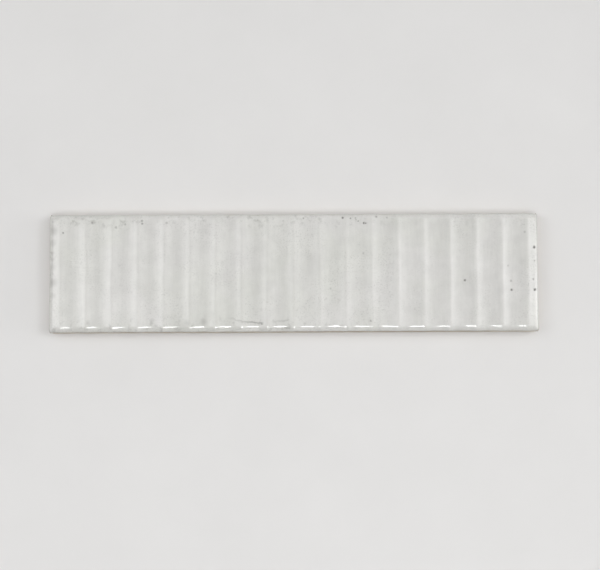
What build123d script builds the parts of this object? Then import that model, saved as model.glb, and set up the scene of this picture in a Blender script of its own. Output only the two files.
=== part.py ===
from build123d import *

import os
from math import floor

# A fluted ceramic wall tile, 6 x 25 cm nominal, pressed and fired as one piece of clay.
# It lies on its back: length along X, width along Y, fluted glazed face up (+Z).
# The origin is the middle of the bedding face, on the keying rib that runs along the tile.

# Outline
length = 246.0
width = 60.0
thickness = 9.0          # from the bedding face to the tops of the ridges
corner_radius = 1.2      # the four corners, seen from the front
joint = 1.0              # the grout joint to the next tile, across which the flutes run on

# Flutes: shallow scallops side by side that meet in ridges, which the glaze softens
flute_width = 13.0       # from ridge to ridge, evened out so that whole flutes fit
flute_depth = 0.8        # from the tops of the ridges down to the flutes
ridge_radius = 4.0
rim_radius = 3.0         # the glazed rim, which rolls over along every wave of the face

# Back: raised keying ribs, with shallow pockets between them for the adhesive
back_chamfer = 0.8       # the die's bevel around the back
key_margin = 7.0         # plain margin around the pockets
key_depth = 0.7
key_size = 16.5          # one pocket, measured along the tile
key_rib = 5.0            # the ribs between pockets, and the rib along the middle
key_corner_radius = 2.0

# A ridge or a flute stands in the middle of the tile, and a flute in the middle of the joint.
flute_count = round((length + joint) / flute_width)
flute_pitch = (length + joint) / flute_count

# The arc of a flute is tangent to the rounded ridges on both sides of it.
arc_sum = ((flute_pitch / 2) ** 2 + flute_depth**2) / (2 * flute_depth)
flute_radius = arc_sum - ridge_radius
flute_axis = thickness - flute_depth + flute_radius

# Two rows of pockets, as many as fit between the margins.
key_pitch = key_size + key_rib
key_count = floor((length - 2 * key_margin + key_rib) / key_pitch)
key_length = (width - 2 * key_margin - key_rib) / 2

os.makedirs("parts", exist_ok=True)

with BuildPart() as tile:

    # Body, with the flutes across its whole width
    with BuildSketch(Plane.XZ) as profile:
        with Locations((0, (thickness + flute_depth) / 2)):
            Rectangle(length, thickness + flute_depth)
        with Locations((0, flute_axis)):
            with GridLocations(flute_pitch, 0, flute_count + 1, 1):
                Circle(flute_radius, mode=Mode.SUBTRACT)
        ridges = profile.vertices().filter_by(lambda corner: corner.Y > thickness)
        fillet(ridges, ridge_radius)
    extrude(amount=width / 2, both=True)

    # Rolled rim around the face, which meets in a mitre at the rounded corners
    face_edges = tile.edges().filter_by(
        lambda edge: edge.bounding_box().min.Z > thickness - 2 * flute_depth
    )
    across = face_edges.filter_by(Axis.Y)
    ends = across.group_by(Axis.X)[0] + across.group_by(Axis.X)[-1]
    sides = face_edges.filter_by(Axis.Y, reverse=True)
    fillet(sides + ends, rim_radius)
    with BuildSketch(Plane.XY):
        RectangleRounded(length, width, corner_radius)
    extrude(amount=thickness, mode=Mode.INTERSECT)

    # Bevelled back edge and the keying pockets
    chamfer(tile.edges().group_by(Axis.Z)[0], back_chamfer)
    with BuildSketch(Plane.XY):
        with GridLocations(key_pitch, key_length + key_rib, key_count, 2):
            RectangleRounded(key_size, key_length, key_corner_radius)
    extrude(amount=key_depth, mode=Mode.SUBTRACT)

tile.part.label = "tile"
export_step(tile.part, "parts/tile.step")
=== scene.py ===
from math import atan2, copysign, cos, pi, radians, sin, sqrt, tan

import bmesh
import bpy
from mathutils import Matrix, Vector, noise


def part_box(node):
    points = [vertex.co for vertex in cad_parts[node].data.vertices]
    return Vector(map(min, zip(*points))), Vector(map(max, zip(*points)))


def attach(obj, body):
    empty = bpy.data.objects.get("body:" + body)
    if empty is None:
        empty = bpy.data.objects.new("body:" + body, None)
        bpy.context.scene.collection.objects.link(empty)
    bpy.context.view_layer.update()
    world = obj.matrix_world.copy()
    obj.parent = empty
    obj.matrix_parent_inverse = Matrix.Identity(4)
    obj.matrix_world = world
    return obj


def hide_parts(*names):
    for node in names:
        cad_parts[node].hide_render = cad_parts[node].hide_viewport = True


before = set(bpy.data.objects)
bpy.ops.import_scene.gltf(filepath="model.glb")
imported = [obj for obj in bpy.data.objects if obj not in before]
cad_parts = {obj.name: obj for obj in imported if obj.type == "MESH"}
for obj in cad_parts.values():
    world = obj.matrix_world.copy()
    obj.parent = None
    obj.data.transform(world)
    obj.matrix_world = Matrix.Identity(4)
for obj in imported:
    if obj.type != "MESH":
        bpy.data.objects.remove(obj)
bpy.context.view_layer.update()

# Tile body
# One slab of white clay, pressed dry in a steel die and fired. Its face is a row of shallow
# scallops that meet in ridges, and its rim rolls over along every wave under the glaze.

MM = 0.001
tile_low, tile_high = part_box("tile")
length = tile_high[0] - tile_low[0]
width = tile_high[1] - tile_low[1]
thickness = tile_high[2] - tile_low[2]

flute_width = 13.0 * MM
flute_depth = 0.8 * MM
ridge_radius = 4.0 * MM
rim_radius = 3.0 * MM
corner_radius = 1.2 * MM
joint = 1.0 * MM
back_chamfer = 0.8 * MM

key_margin = 7.0 * MM
key_depth = 0.7 * MM
key_size = 16.5 * MM
key_rib = 5.0 * MM
key_corner_radius = 2.0 * MM
key_draft = 0.1 * MM
flush = 0.001 * MM
centred = 0.1 * MM

strip_width = 0.5 * MM
row_width = 2.0 * MM
mitre_reach = 3.5 * MM

flute_count = round((length + joint) / flute_width)
flute_pitch = (length + joint) / flute_count
arc_sum = ((flute_pitch / 2) ** 2 + flute_depth**2) / (2 * flute_depth)
flute_radius = arc_sum - ridge_radius
ridge_half = ridge_radius * flute_pitch / 2 / arc_sum


def flute_drop(x, y):
    """How far the face lies below the ridge tops: a rounded ridge, then the arc of the flute.
    The clay and the glaze leave the ridges a little crooked and the face a little wavy."""
    x += 0.35 * MM * noise.noise(Vector((x / (31 * MM), y / (19 * MM), 3.7)))
    from_ridge = abs(x / flute_pitch - round(x / flute_pitch)) * flute_pitch
    if from_ridge < ridge_half:
        drop = ridge_radius - sqrt(ridge_radius**2 - from_ridge**2)
    else:
        from_middle = flute_pitch / 2 - from_ridge
        drop = flute_depth - flute_radius + sqrt(flute_radius**2 - from_middle**2)
    long_wave = 1 + noise.noise(Vector((x / (26 * MM), y / (17 * MM), 0.4)))
    short_wave = 1 + noise.noise(Vector((x / (7 * MM), y / (9 * MM), 5.2)))
    return drop + 0.05 * MM * long_wave + 0.012 * MM * short_wave


def edges_along(mesh, axis, lowest):
    """The edges that run straight along one axis, above a height."""
    found = []
    for edge in mesh.edges:
        a, b = (vertex.co for vertex in edge.verts)
        step = b - a
        straight = step.length - abs(step[axis]) < 1e-7
        if straight and min(a.z, b.z) > lowest:
            found.append(edge)
    return found


body = bmesh.new()
bmesh.ops.create_cube(body, size=1.0)
bmesh.ops.scale(body, vec=(length, width, thickness), verts=body.verts)
bmesh.ops.translate(body, vec=(0, 0, thickness / 2), verts=body.verts)

# The rim rolls over in a quarter round, mitred at the corners for now.
rim = [edge for edge in body.edges if all(v.co.z > thickness / 2 for v in edge.verts)]
bmesh.ops.bevel(
    body, geom=rim, offset=rim_radius, segments=12, profile=0.5, affect="EDGES", material=-1
)
back_rim = [edge for edge in body.edges if all(v.co.z < MM for v in edge.verts)]
bmesh.ops.bevel(
    body, geom=back_rim, offset=back_chamfer, segments=1, profile=0.5, affect="EDGES", material=-1
)

# The die presses two rows of keying pockets into the back, with rounded corners.
key_pitch = key_size + key_rib
key_count = int((length - 2 * key_margin + key_rib) / key_pitch)
key_length = (width - 2 * key_margin - key_rib) / 2
columns = [(place - (key_count - 1) / 2) * key_pitch for place in range(key_count)]
rows = [-(key_length + key_rib) / 2, (key_length + key_rib) / 2]
cuts = [(Vector((x + side * key_size / 2, 0, 0)), Vector((1, 0, 0))) for x in columns for side in (-1, 1)]
cuts += [(Vector((0, y + side * key_length / 2, 0)), Vector((0, 1, 0))) for y in rows for side in (-1, 1)]
for place, across in cuts:
    back = [face for face in body.faces if all(v.co.z < flush for v in face.verts)]
    edges = {edge for face in back for edge in face.edges}
    corners = {vertex for face in back for vertex in face.verts}
    bmesh.ops.bisect_plane(
        body, geom=back + list(edges) + list(corners), plane_co=place, plane_no=across
    )


def in_pocket(face):
    """Whether a face of the back lies in one of the pockets."""
    middle = face.calc_center_median()
    beside = min(abs(middle.x - x) for x in columns)
    along = min(abs(middle.y - y) for y in rows)
    return middle.z < flush and beside < centred and along < centred


pockets = [face for face in body.faces if in_pocket(face)]
bmesh.ops.inset_individual(body, faces=pockets, thickness=key_draft, depth=-key_depth)
pocket_corners = {
    edge
    for face in pockets
    for vertex in face.verts
    for edge in vertex.link_edges
    if abs(edge.verts[0].co.z - edge.verts[1].co.z) > key_depth / 2
}
bmesh.ops.bevel(
    body,
    geom=list(pocket_corners),
    offset=key_corner_radius,
    segments=5,
    profile=0.5,
    affect="EDGES",
    material=-1,
)

# The face is cut into strips half a millimetre wide, and rows 2 mm apart.
roll_start = thickness - rim_radius - 0.01 * MM
bmesh.ops.subdivide_edges(
    body, edges=edges_along(body, 0, roll_start), cuts=round(length / strip_width), use_grid_fill=True
)
bmesh.ops.subdivide_edges(
    body, edges=edges_along(body, 1, roll_start), cuts=round(width / row_width), use_grid_fill=True
)

# The corners are rounded by cuts tangent to their arc.
for side_x in (-1, 1):
    for side_y in (-1, 1):
        centre = Vector((side_x * (length / 2 - corner_radius), side_y * (width / 2 - corner_radius), 0))
        for step in range(5):
            angle = radians(9 + 18 * step)
            outward = Vector((side_x * cos(angle), side_y * sin(angle), 0))
            bmesh.ops.bisect_plane(
                body,
                geom=body.verts[:] + body.edges[:] + body.faces[:],
                plane_co=centre + outward * corner_radius,
                plane_no=outward,
                clear_outer=True,
            )
            open_edges = [edge for edge in body.edges if edge.is_boundary]
            bmesh.ops.edgenet_fill(body, edges=open_edges)

# The glaze softens the mitres where the rolled rims meet.
mitres = [
    vertex
    for vertex in body.verts
    if vertex.co.z > roll_start + 0.8 * MM
    and abs(vertex.co.x) > length / 2 - mitre_reach
    and abs(vertex.co.y) > width / 2 - mitre_reach
]
for _ in range(2):
    bmesh.ops.smooth_vert(body, verts=mitres, factor=0.5, use_axis_x=True, use_axis_y=True, use_axis_z=True)

# The long sides lean in by half a millimetre up to the foot of the roll, so that the tile leaves
# the die. The glaze pools unevenly along the rolled rims, more in the flutes than on the ridges,
# and moves the top of the roll inwards by up to 0.65 mm. The push fades out 10 mm from the edge.
side_lean = 0.5 * MM
settled = 10.0 * MM


def pushed_in(place, half, foot, top):
    """Where a point across the rim ends up, when the foot and the top of the roll move inwards."""
    inward = half - abs(place)
    share = min(inward / rim_radius, 1)
    fade = min(max(settled - inward, 0) / (settled - rim_radius), 1)
    return copysign(abs(place) - (1 - share) * foot - share * fade * top, place)


for vertex in body.verts:
    x, y, z = vertex.co
    if z > roll_start:
        side_wave = 0.2 * MM * (1 + noise.noise(Vector((x / (4 * MM), copysign(1, y), 2.3))))
        end_wave = 0.15 * MM * (1 + noise.noise(Vector((copysign(1, x), y / (6 * MM), 8.1))))
        in_flute = flute_drop(x, y) / flute_depth
        vertex.co.y = pushed_in(y, width / 2, side_lean, side_wave + 0.25 * MM * in_flute)
        vertex.co.x = pushed_in(x, length / 2, 0, end_wave)

# The face and its rim sink between the ridges, from the foot of the roll upwards.
for vertex in body.verts:
    if vertex.co.z > roll_start:
        vertex.co.z -= flute_drop(vertex.co.x, vertex.co.y)

bmesh.ops.recalc_face_normals(body, faces=body.faces)
for face in body.faces:
    face.smooth = True
for edge in body.edges:
    if max(v.co.z for v in edge.verts) < roll_start - MM and edge.calc_face_angle(0) > radians(30):
        edge.smooth = False

# The operators leave points, edges and faces in an order that differs from run to run, so they are
# sorted by place.
sorting = Vector((1.0, 31.7, 977.3))
body.verts.sort(key=lambda vertex: vertex.co.dot(sorting))
body.edges.sort(key=lambda edge: (edge.verts[0].co + edge.verts[1].co).dot(sorting))
body.faces.sort(key=lambda face: face.calc_center_median().dot(sorting))
tile_mesh = bpy.data.meshes.new("glazed_tile")
body.to_mesh(tile_mesh)
body.free()
tile = bpy.data.objects.new("glazed_tile", tile_mesh)
bpy.context.collection.objects.link(tile)
finish = tile.modifiers.new("even_normals", "WEIGHTED_NORMAL")
finish.keep_sharp = True
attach(tile, "root")
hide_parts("tile")


def linear(hex_colour):
    """An sRGB hex colour as linear RGBA."""
    values = [int(hex_colour[i : i + 2], 16) / 255 for i in (0, 2, 4)]
    return [v / 12.92 if v < 0.04045 else ((v + 0.055) / 1.055) ** 2.4 for v in values] + [1.0]


def add(tree, kind, sockets=None, **settings):
    """One node. Each socket gets a value, or a link from another node's output."""
    made = tree.nodes.new(kind)
    for name, value in settings.items():
        setattr(made, name, value)
    for name, value in (sockets or {}).items():
        if isinstance(value, bpy.types.NodeSocket):
            tree.links.new(value, made.inputs[name])
        else:
            made.inputs[name].default_value = value
    return made


def new_material(name):
    """An empty material and its node tree."""
    material = bpy.data.materials.new(name)
    material.use_nodes = True
    material.node_tree.nodes.clear()
    return material, material.node_tree


# Opaque gloss glaze, poured over the face and fired: an off-white, slightly green skin with soft
# clouds, fine grey speckle and a few iron pins. It ends in a wandering line on the sides, and
# below that and on the back the pressed clay is bare, cream and matt.
glazed_clay, tree = new_material("gloss_glaze_on_pressed_white_clay")
place = add(tree, "ShaderNodeTexCoord").outputs["Object"]
axes = add(tree, "ShaderNodeSeparateXYZ", {"Vector": place})

# Clouds of 18 mm and 5 mm, and a slow drift between two pale greys, one a little greener.
wide_clouds = add(
    tree, "ShaderNodeTexNoise", {"Vector": place, "Scale": 1 / (18 * MM), "Detail": 3.0, "Roughness": 0.55}
)
small_clouds = add(
    tree, "ShaderNodeTexNoise", {"Vector": place, "Scale": 1 / (5 * MM), "Detail": 4.0, "Roughness": 0.6}
)
drift = add(
    tree, "ShaderNodeTexNoise", {"Vector": place, "Scale": 1 / (33 * MM), "Detail": 2.0, "Distortion": 0.6}
)
hue = add(tree, "ShaderNodeMapRange", {"Value": drift.outputs["Fac"], "From Min": 0.36, "From Max": 0.64})
glaze_tone = add(
    tree,
    "ShaderNodeMix",
    {0: hue.outputs["Result"], 6: linear("D3D3CE"), 7: linear("D4D3D0")},
    data_type="RGBA",
)
lightness = add(
    tree,
    "ShaderNodeMix",
    {0: 0.5, 2: wide_clouds.outputs["Fac"], 3: small_clouds.outputs["Fac"]},
    data_type="FLOAT",
)
cloudy = add(
    tree,
    "ShaderNodeMapRange",
    {"Value": lightness.outputs[0], "From Min": 0.35, "From Max": 0.65, "To Min": 0.95, "To Max": 1.05},
    clamp=False,
)
clouded = add(
    tree,
    "ShaderNodeVectorMath",
    {0: glaze_tone.outputs[2], "Scale": cloudy.outputs["Result"]},
    operation="SCALE",
)

# The glaze runs thin on the ridges, where it is a shade lighter.
thin = add(
    tree,
    "ShaderNodeMapRange",
    {
        "Value": axes.outputs["Z"],
        "From Min": thickness - flute_depth,
        "From Max": thickness,
        "To Min": 0.995,
        "To Max": 1.015,
    },
)

# It flowed along the flutes as it dried, in faint streaks 1 mm wide and 12 mm long.
drawn_out = add(tree, "ShaderNodeMapping", {"Vector": place, "Scale": (1, 0.08, 1)})
streaks = add(
    tree,
    "ShaderNodeTexNoise",
    {"Vector": drawn_out.outputs["Vector"], "Scale": 1 / (1 * MM), "Detail": 2.0, "Roughness": 0.6},
)
streak_tone = add(
    tree,
    "ShaderNodeMapRange",
    {"Value": streaks.outputs["Fac"], "From Min": 0.3, "From Max": 0.7, "To Min": 0.98, "To Max": 1.02},
)
glaze_light = add(
    tree,
    "ShaderNodeMath",
    {0: thin.outputs["Result"], 1: streak_tone.outputs["Result"]},
    operation="MULTIPLY",
)
glaze_body = add(
    tree,
    "ShaderNodeVectorMath",
    {0: clouded.outputs["Vector"], "Scale": glaze_light.outputs[0]},
    operation="SCALE",
)

# Fine speckle: real grains are 0.1 to 0.3 mm, drawn here 0.8 mm apart so that they show. It is
# denser in patches of 14 mm.
grains = add(
    tree, "ShaderNodeTexNoise", {"Vector": place, "Scale": 1 / (0.8 * MM), "Detail": 2.0, "Roughness": 0.7}
)
grain_marks = add(
    tree,
    "ShaderNodeMapRange",
    {"Value": grains.outputs["Fac"], "From Min": 0.48, "From Max": 0.78},
    interpolation_type="SMOOTHSTEP",
)
patches = add(
    tree, "ShaderNodeTexNoise", {"Vector": place, "Scale": 1 / (14 * MM), "Detail": 2.0, "Distortion": 0.4}
)
patch_marks = add(
    tree,
    "ShaderNodeMapRange",
    {"Value": patches.outputs["Fac"], "From Min": 0.42, "From Max": 0.68, "To Min": 0.05, "To Max": 0.24},
    interpolation_type="SMOOTHSTEP",
)
grain_shade = add(
    tree,
    "ShaderNodeMath",
    {0: grain_marks.outputs["Result"], 1: patch_marks.outputs["Result"]},
    operation="MULTIPLY",
)

# Smoky stains of 3 mm gather beside the rims, and thin out towards the right end.
stains = add(
    tree, "ShaderNodeTexNoise", {"Vector": place, "Scale": 1 / (3.2 * MM), "Detail": 4.0, "Roughness": 0.65}
)
stain_marks = add(
    tree,
    "ShaderNodeMapRange",
    {"Value": stains.outputs["Fac"], "From Min": 0.5, "From Max": 0.72},
    interpolation_type="SMOOTHSTEP",
)
from_side = add(tree, "ShaderNodeMath", {0: axes.outputs["Y"]}, operation="ABSOLUTE")
near_side = add(
    tree,
    "ShaderNodeMapRange",
    {"Value": from_side.outputs[0], "From Min": width / 2 - 11 * MM, "From Max": width / 2 - 3 * MM},
    interpolation_type="SMOOTHSTEP",
)
from_end = add(tree, "ShaderNodeMath", {0: axes.outputs["X"]}, operation="ABSOLUTE")
near_end = add(
    tree,
    "ShaderNodeMapRange",
    {"Value": from_end.outputs[0], "From Min": length / 2 - 6 * MM, "From Max": length / 2 - 1 * MM},
    interpolation_type="SMOOTHSTEP",
)
near_rim = add(
    tree,
    "ShaderNodeMath",
    {0: near_side.outputs["Result"], 1: near_end.outputs["Result"]},
    operation="MAXIMUM",
)
stain_shade = add(
    tree, "ShaderNodeMath", {0: stain_marks.outputs["Result"], 1: near_rim.outputs[0]}, operation="MULTIPLY"
)
stain_strength = add(
    tree,
    "ShaderNodeMapRange",
    {
        "Value": axes.outputs["X"],
        "From Min": 10 * MM,
        "From Max": 60 * MM,
        "To Min": 0.3,
        "To Max": 0.08,
    },
    interpolation_type="SMOOTHSTEP",
)
stain_faint = add(
    tree,
    "ShaderNodeMath",
    {0: stain_shade.outputs[0], 1: stain_strength.outputs["Result"]},
    operation="MULTIPLY",
)
shade = add(
    tree, "ShaderNodeMath", {0: grain_shade.outputs[0], 1: stain_faint.outputs[0]}, operation="MAXIMUM"
).outputs[0]

# Iron pins that came through the glaze, and a few broad, faint smudges: place along and across the tile and
# radius, all in millimetres, and darkness. The broad marks along the left end are partly smudges and partly
# painted shade on its rolled rim.
wobble = add(tree, "ShaderNodeTexNoise", {"Vector": place, "Scale": 1 / (1.1 * MM), "Detail": 1.0})
shift = add(
    tree, "ShaderNodeVectorMath", {0: wobble.outputs["Color"], 1: (0.5, 0.5, 0.5)}, operation="SUBTRACT"
)
uneven = add(
    tree,
    "ShaderNodeVectorMath",
    {0: shift.outputs["Vector"], 1: (0.7 * MM, 0.7 * MM, 0), 2: place},
    operation="MULTIPLY_ADD",
)
flat = add(
    tree, "ShaderNodeVectorMath", {0: uneven.outputs["Vector"], 1: (1, 1, 0)}, operation="MULTIPLY"
)
pins_smudges_and_end_shade = [
    (24.7, 27.4, 0.91, 0.92),
    (28.5, 27.1, 0.78, 0.69),
    (31.0, 27.4, 0.59, 0.57),
    (31.4, 26.5, 0.59, 0.57),
    (32.4, 25.8, 0.65, 0.69),
    (35.3, 24.8, 0.78, 0.86),
    (36.2, 24.7, 0.78, 0.8),
    (41.5, 28.0, 1, 0.57),
    (46.9, 27.4, 0.78, 0.4),
    (4.9, 27.3, 0.78, 0.57),
    (34.9, 9.6, 0.9, 0.3),
    (18.4, -8.1, 0.78, 0.34),
    (38.3, -24.3, 0.91, 0.57),
    (85.6, -4.2, 0.98, 0.98),
    (108.9, -9.1, 1, 1),
    (108.7, -4.6, 0.91, 0.4),
    (107.3, 3.0, 0.78, 0.34),
    (120.6, 12.3, 1.2, 1),
    (120.7, 5.6, 0.78, 0.46),
    (119.8, -3.8, 0.85, 0.57),
    (120.5, -9.0, 1.2, 1),
    (115.8, 20.0, 0.91, 0.34),
    (-76.1, 26.3, 0.91, 0.69),
    (-76.0, 24.9, 0.91, 0.69),
    (-101.0, 25.5, 1.2, 0.57),
    (-115.6, 20.4, 0.78, 0.69),
    (-89.1, 23.0, 1, 0.46),
    (-84.6, 24.7, 0.91, 0.4),
    (-63.7, 25.2, 1, 0.46),
    (-45.1, -24.5, 3.0, 0.26),
    # Along the left end's rim: partly smudges, partly painted shade.
    (-120.6, 21.5, 3.6, 0.3),
    (-120.9, 15.5, 3.0, 0.22),
    (-121.0, 3.0, 3.4, 0.2),
    (-120.8, -4.5, 3.8, 0.32),
    (-120.4, -11.0, 2.6, 0.2),
    (-53.5, -25.0, 2.6, 0.2),
]
for along, across, radius, darkness in pins_smudges_and_end_shade:
    gap = add(
        tree,
        "ShaderNodeVectorMath",
        {0: flat.outputs["Vector"], 1: (along * MM, across * MM, 0)},
        operation="DISTANCE",
    )
    dark_spot = add(
        tree,
        "ShaderNodeMapRange",
        {"Value": gap.outputs["Value"], "From Max": radius * MM, "To Min": darkness, "To Max": 0.0},
        interpolation_type="SMOOTHSTEP",
    )
    shade = add(tree, "ShaderNodeMath", {0: shade, 1: dark_spot.outputs["Result"]}, operation="MAXIMUM").outputs[0]

# A hairline near the lower rim, where the glaze cracked and took up dirt: its two strokes are
# given by their ends and darkness, and wander by up to a millimetre with the small clouds.
flat_axes = add(tree, "ShaderNodeSeparateXYZ", {"Vector": uneven.outputs["Vector"]})
wander = add(
    tree,
    "ShaderNodeMapRange",
    {
        "Value": small_clouds.outputs["Fac"],
        "From Min": 0.3,
        "From Max": 0.7,
        "To Min": -1.0 * MM,
        "To Max": 1.0 * MM,
    },
)
wandering = add(
    tree,
    "ShaderNodeMath",
    {0: flat_axes.outputs["Y"], 1: wander.outputs["Result"]},
    operation="ADD",
)
hairline = [(-35.4, -22.6, -15.6, -25.4, 0.55), (-12.0, -24.8, -2.5, -23.8, 0.25)]
for start_x, start_y, end_x, end_y, darkness in hairline:
    middle_line = add(
        tree,
        "ShaderNodeMapRange",
        {
            "Value": flat_axes.outputs["X"],
            "From Min": start_x * MM,
            "From Max": end_x * MM,
            "To Min": start_y * MM,
            "To Max": end_y * MM,
        },
    )
    aside = add(
        tree,
        "ShaderNodeMath",
        {0: wandering.outputs[0], 1: middle_line.outputs["Result"]},
        operation="SUBTRACT",
    )
    distance = add(tree, "ShaderNodeMath", {0: aside.outputs[0]}, operation="ABSOLUTE")
    stroke = add(
        tree,
        "ShaderNodeMapRange",
        {"Value": distance.outputs[0], "From Max": 0.8 * MM, "To Min": darkness, "To Max": 0.0},
        interpolation_type="SMOOTHSTEP",
    )
    begins = add(
        tree,
        "ShaderNodeMapRange",
        {"Value": flat_axes.outputs["X"], "From Min": start_x * MM, "From Max": (end_x - 2) * MM},
    )
    ends = add(
        tree,
        "ShaderNodeMapRange",
        {
            "Value": flat_axes.outputs["X"],
            "From Min": (end_x - 0.5) * MM,
            "From Max": (end_x + 0.5) * MM,
            "To Min": 1.0,
            "To Max": 0.0,
        },
    )
    kept = add(
        tree, "ShaderNodeMath", {0: begins.outputs["Result"], 1: ends.outputs["Result"]}, operation="MULTIPLY"
    )
    drawn = add(
        tree, "ShaderNodeMath", {0: stroke.outputs["Result"], 1: kept.outputs[0]}, operation="MULTIPLY"
    )
    shade = add(tree, "ShaderNodeMath", {0: shade, 1: drawn.outputs[0]}, operation="MAXIMUM").outputs[0]
glaze_colour = add(
    tree,
    "ShaderNodeMix",
    {0: shade, 6: glaze_body.outputs["Vector"], 7: linear("5E5D57")},
    data_type="RGBA",
)

# The bare clay: grog of 0.8 mm and clouds of 7 mm, pressed smooth but never shiny. It is drawn a shade darker
# than the clay itself, which paints shade into the dark line at the foot of the lower rim.
clay_grain = add(
    tree, "ShaderNodeTexNoise", {"Vector": place, "Scale": 1 / (0.8 * MM), "Detail": 3.0, "Roughness": 0.75}
)
clay_clouds = add(
    tree, "ShaderNodeTexNoise", {"Vector": place, "Scale": 1 / (7 * MM), "Detail": 4.0, "Roughness": 0.6}
)
clay_mottle = add(
    tree,
    "ShaderNodeMix",
    {0: 0.55, 2: clay_grain.outputs["Fac"], 3: clay_clouds.outputs["Fac"]},
    data_type="FLOAT",
)
clay_mix = add(
    tree, "ShaderNodeMapRange", {"Value": clay_mottle.outputs[0], "From Min": 0.34, "From Max": 0.66}
)
clay_colour_and_shade = add(
    tree,
    "ShaderNodeMix",
    {0: clay_mix.outputs["Result"], 6: linear("A89B86"), 7: linear("BFB3A0")},
    data_type="RGBA",
)

# The glaze line runs 1 to 3 mm below the foot of the rolled rim.
tide = add(tree, "ShaderNodeTexNoise", {"Vector": place, "Scale": 1 / (9 * MM), "Detail": 3.0})
glaze_line = add(
    tree,
    "ShaderNodeMapRange",
    {
        "Value": tide.outputs["Fac"],
        "From Min": 0.3,
        "From Max": 0.7,
        "To Min": thickness - rim_radius - 3.2 * MM,
        "To Max": thickness - rim_radius - 0.8 * MM,
    },
)
above_line = add(
    tree,
    "ShaderNodeMath",
    {0: axes.outputs["Z"], 1: glaze_line.outputs["Result"]},
    operation="SUBTRACT",
)
glazed = add(
    tree,
    "ShaderNodeMapRange",
    {"Value": above_line.outputs[0], "From Min": -0.12 * MM, "From Max": 0.12 * MM},
    interpolation_type="SMOOTHSTEP",
)

# Down the roll the glaze is drawn thin, and the clay shows through it. This darker, browner foot of each roll
# is partly that thin glaze and partly painted shade.
thin_glaze_and_shade = add(
    tree,
    "ShaderNodeMapRange",
    {
        "Value": axes.outputs["Z"],
        "From Min": thickness - 4.0 * MM,
        "From Max": thickness - 1.9 * MM,
        "To Min": 0.05,
        "To Max": 1.0,
    },
    interpolation_type="SMOOTHSTEP",
)
glaze_share_and_shade = add(
    tree,
    "ShaderNodeMath",
    {0: glazed.outputs["Result"], 1: thin_glaze_and_shade.outputs["Result"]},
    operation="MULTIPLY",
)
colour = add(
    tree,
    "ShaderNodeMix",
    {0: glaze_share_and_shade.outputs[0], 6: clay_colour_and_shade.outputs[2], 7: glaze_colour.outputs[2]},
    data_type="RGBA",
)
gloss = add(
    tree,
    "ShaderNodeMapRange",
    {"Value": wide_clouds.outputs["Fac"], "From Min": 0.3, "From Max": 0.7, "To Min": 0.09, "To Max": 0.15},
)
roughness = add(
    tree,
    "ShaderNodeMix",
    {0: glazed.outputs["Result"], 2: 0.92, 3: gloss.outputs["Result"]},
    data_type="FLOAT",
)

# Heights in tenths of a millimetre: the glaze stands about 0.1 mm proud of the clay, with an
# orange peel of 2 mm and a pit at each pin.
peel = add(tree, "ShaderNodeTexNoise", {"Vector": place, "Scale": 1 / (2 * MM), "Detail": 2.0})
peel_height = add(tree, "ShaderNodeMath", {0: peel.outputs["Fac"], 1: 0.12, 2: 1.5}, operation="MULTIPLY_ADD")
pitted = add(
    tree, "ShaderNodeMath", {0: shade, 1: -0.25, 2: peel_height.outputs[0]}, operation="MULTIPLY_ADD"
)
clay_height = add(tree, "ShaderNodeMath", {0: clay_grain.outputs["Fac"], 1: 0.9}, operation="MULTIPLY")
height_mix = add(
    tree,
    "ShaderNodeMix",
    {0: glazed.outputs["Result"], 2: clay_height.outputs[0], 3: pitted.outputs[0]},
    data_type="FLOAT",
)
relief = add(
    tree, "ShaderNodeBump", {"Height": height_mix.outputs[0], "Strength": 1.0, "Distance": 0.1 * MM}
)
surface = add(
    tree,
    "ShaderNodeBsdfPrincipled",
    {
        "Base Color": colour.outputs[2],
        "Roughness": roughness.outputs[0],
        "IOR": 1.5,
        "Normal": relief.outputs["Normal"],
    },
)
add(tree, "ShaderNodeOutputMaterial", {"Surface": surface.outputs["BSDF"]})
tile_mesh.materials.append(glazed_clay)

# Floor
# A plain pale table top of matt laminate, on which the tile lies flat on its back.

floor_mesh = bpy.data.meshes.new("table_top")
table = bmesh.new()
bmesh.ops.create_grid(table, x_segments=1, y_segments=1, size=3.0)
table.to_mesh(floor_mesh)
table.free()
floor = bpy.data.objects.new("table_top", floor_mesh)
bpy.context.collection.objects.link(floor)
laminate, tree = new_material("matt_white_laminate")
place = add(tree, "ShaderNodeTexCoord").outputs["Object"]
haze = add(
    tree, "ShaderNodeTexNoise", {"Vector": place, "Scale": 1 / (60 * MM), "Detail": 3.0, "Roughness": 0.6}
)
haze_mix = add(tree, "ShaderNodeMapRange", {"Value": haze.outputs["Fac"], "From Min": 0.3, "From Max": 0.7})
laminate_colour = add(
    tree,
    "ShaderNodeMix",
    {0: haze_mix.outputs["Result"], 6: linear("DDDCDB"), 7: linear("E0DFDE")},
    data_type="RGBA",
)
surface = add(
    tree,
    "ShaderNodeBsdfPrincipled",
    {"Base Color": laminate_colour.outputs[2], "Roughness": 0.9, "Specular IOR Level": 0.1},
)
add(tree, "ShaderNodeOutputMaterial", {"Surface": surface.outputs["BSDF"]})
floor_mesh.materials.append(laminate)

# Light and camera
# The room is dim overhead. Soft patches of light on both sides, behind and near the middle show in
# the gloss of the flutes. A small oval lamp in front shows in the gloss of the rim alone, and three
# others, in front and at both sides, only light: they give the soft shadows on the table.

world = bpy.data.worlds.new("pale_room")
world.use_nodes = True
bpy.context.scene.world = world
tree = world.node_tree
tree.nodes.clear()
direction = add(tree, "ShaderNodeTexCoord")
height_of = add(tree, "ShaderNodeSeparateXYZ", {"Vector": direction.outputs["Generated"]})
walls = add(
    tree,
    "ShaderNodeMapRange",
    {"Value": height_of.outputs["Z"], "From Min": 0.15, "From Max": 0.5, "To Min": 0.7, "To Max": 0.0},
    interpolation_type="SMOOTHSTEP",
)
light = walls.outputs["Result"]


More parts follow.
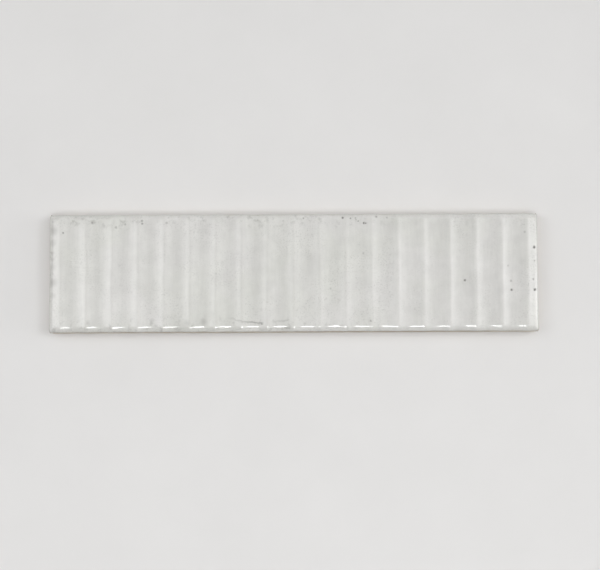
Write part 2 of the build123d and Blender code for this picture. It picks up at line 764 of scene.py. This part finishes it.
def soft_light(light, across, along, reach_x, reach_y, brightness):
    """The light so far, with one more soft patch, at two angles from straight above. It fades
    out at its reach, which is half its width in degrees."""
    middle = Vector((tan(radians(across)), tan(radians(along)), 1)).normalized()
    side = (Vector((1, 0, 0)) - middle * middle.x).normalized()
    turn = Matrix((side, middle.cross(side), middle)).transposed().to_euler()
    placed = add(
        tree,
        "ShaderNodeMapping",
        {
            "Vector": direction.outputs["Generated"],
            "Location": middle,
            "Rotation": turn,
            "Scale": (radians(reach_x), radians(reach_y), 1),
        },
        vector_type="TEXTURE",
    )
    away = add(tree, "ShaderNodeVectorMath", {0: placed.outputs["Vector"]}, operation="LENGTH")
    patch = add(
        tree,
        "ShaderNodeMapRange",
        {"Value": away.outputs["Value"], "To Min": brightness, "To Max": 0.0},
        interpolation_type="SMOOTHSTEP",
    )
    total = add(tree, "ShaderNodeMath", {0: light, 1: patch.outputs["Result"]}, operation="ADD")
    return total.outputs["Value"]


# Each patch: its two angles and its reach both ways, in degrees, and its brightness.
patches_of_light = [
    (-42, 3, 34, 13, 4.4),
    (44, 4, 30, 16, 3.4),
    (12, 4, 14, 14, 0.6),
    (12, 20, 45, 11, 1.6),
    (-8, 42, 30, 22, 1.8),
    (77, 0, 15, 15, 9.0),
]
for across, along, reach_x, reach_y, brightness in patches_of_light:
    light = soft_light(light, across, along, reach_x, reach_y, brightness)
room = add(tree, "ShaderNodeBackground", {"Color": linear("FFFFFF"), "Strength": light})
add(tree, "ShaderNodeOutputWorld", {"Surface": room.outputs["Background"]})


def soft_lamp(name, place, size, brightness, mirrored):
    """An oval lamp that faces the tile: it shows in the gloss alone, or only lights."""
    lamp = bpy.data.lights.new(name, "AREA")
    lamp.shape = "ELLIPSE"
    lamp.size, lamp.size_y = size
    lamp.energy = brightness * pi * (pi / 4 * lamp.size * lamp.size_y)
    stand = bpy.data.objects.new(name, lamp)
    stand.location = place
    stand.rotation_euler = (-Vector(place)).to_track_quat("-Z", "Y").to_euler()
    stand.visible_camera = False
    stand.visible_glossy = mirrored
    stand.visible_diffuse = not mirrored
    bpy.context.collection.objects.link(stand)


soft_lamp("front_lamp", (0.0, -0.186, 0.5), (0.32, 0.16), 23.0, True)
soft_lamp("front_fill", (0.05, -0.38, 1.0), (0.8, 0.55), 4.15, False)
soft_lamp("left_lamp", (-1.3, 0.5, 1.08), (0.54, 0.45), 6.0, False)
soft_lamp("right_lamp", (1.2, 0.45, 1.15), (0.5, 0.45), 7.8, False)

# The photograph was taken from 43 cm straight above, a little in front of the tile.
# Its focal length, the tile's length and the tile's place in the picture are in pixels.
picture_width = 600
picture_middle = 285
focal = 850
tile_length = 492.2
tile_left_of_middle = 6
tile_row = 272.5
tilt = radians(2.84)
turn = radians(-0.24)
height = length * focal / tile_length
camera_data = bpy.data.cameras.new("camera")
camera_data.sensor_width = 36
camera_data.lens = camera_data.sensor_width * focal / picture_width
camera = bpy.data.objects.new("camera", camera_data)
aim = atan2(picture_middle - tile_row, focal)
camera.location = (
    tile_left_of_middle / focal * height,
    -height * sin(tilt + aim),
    thickness + height * cos(tilt + aim),
)
camera.rotation_euler = (tilt, 0, turn)
bpy.context.collection.objects.link(camera)
bpy.context.scene.camera = camera
bpy.context.scene.view_settings.view_transform = "Standard"
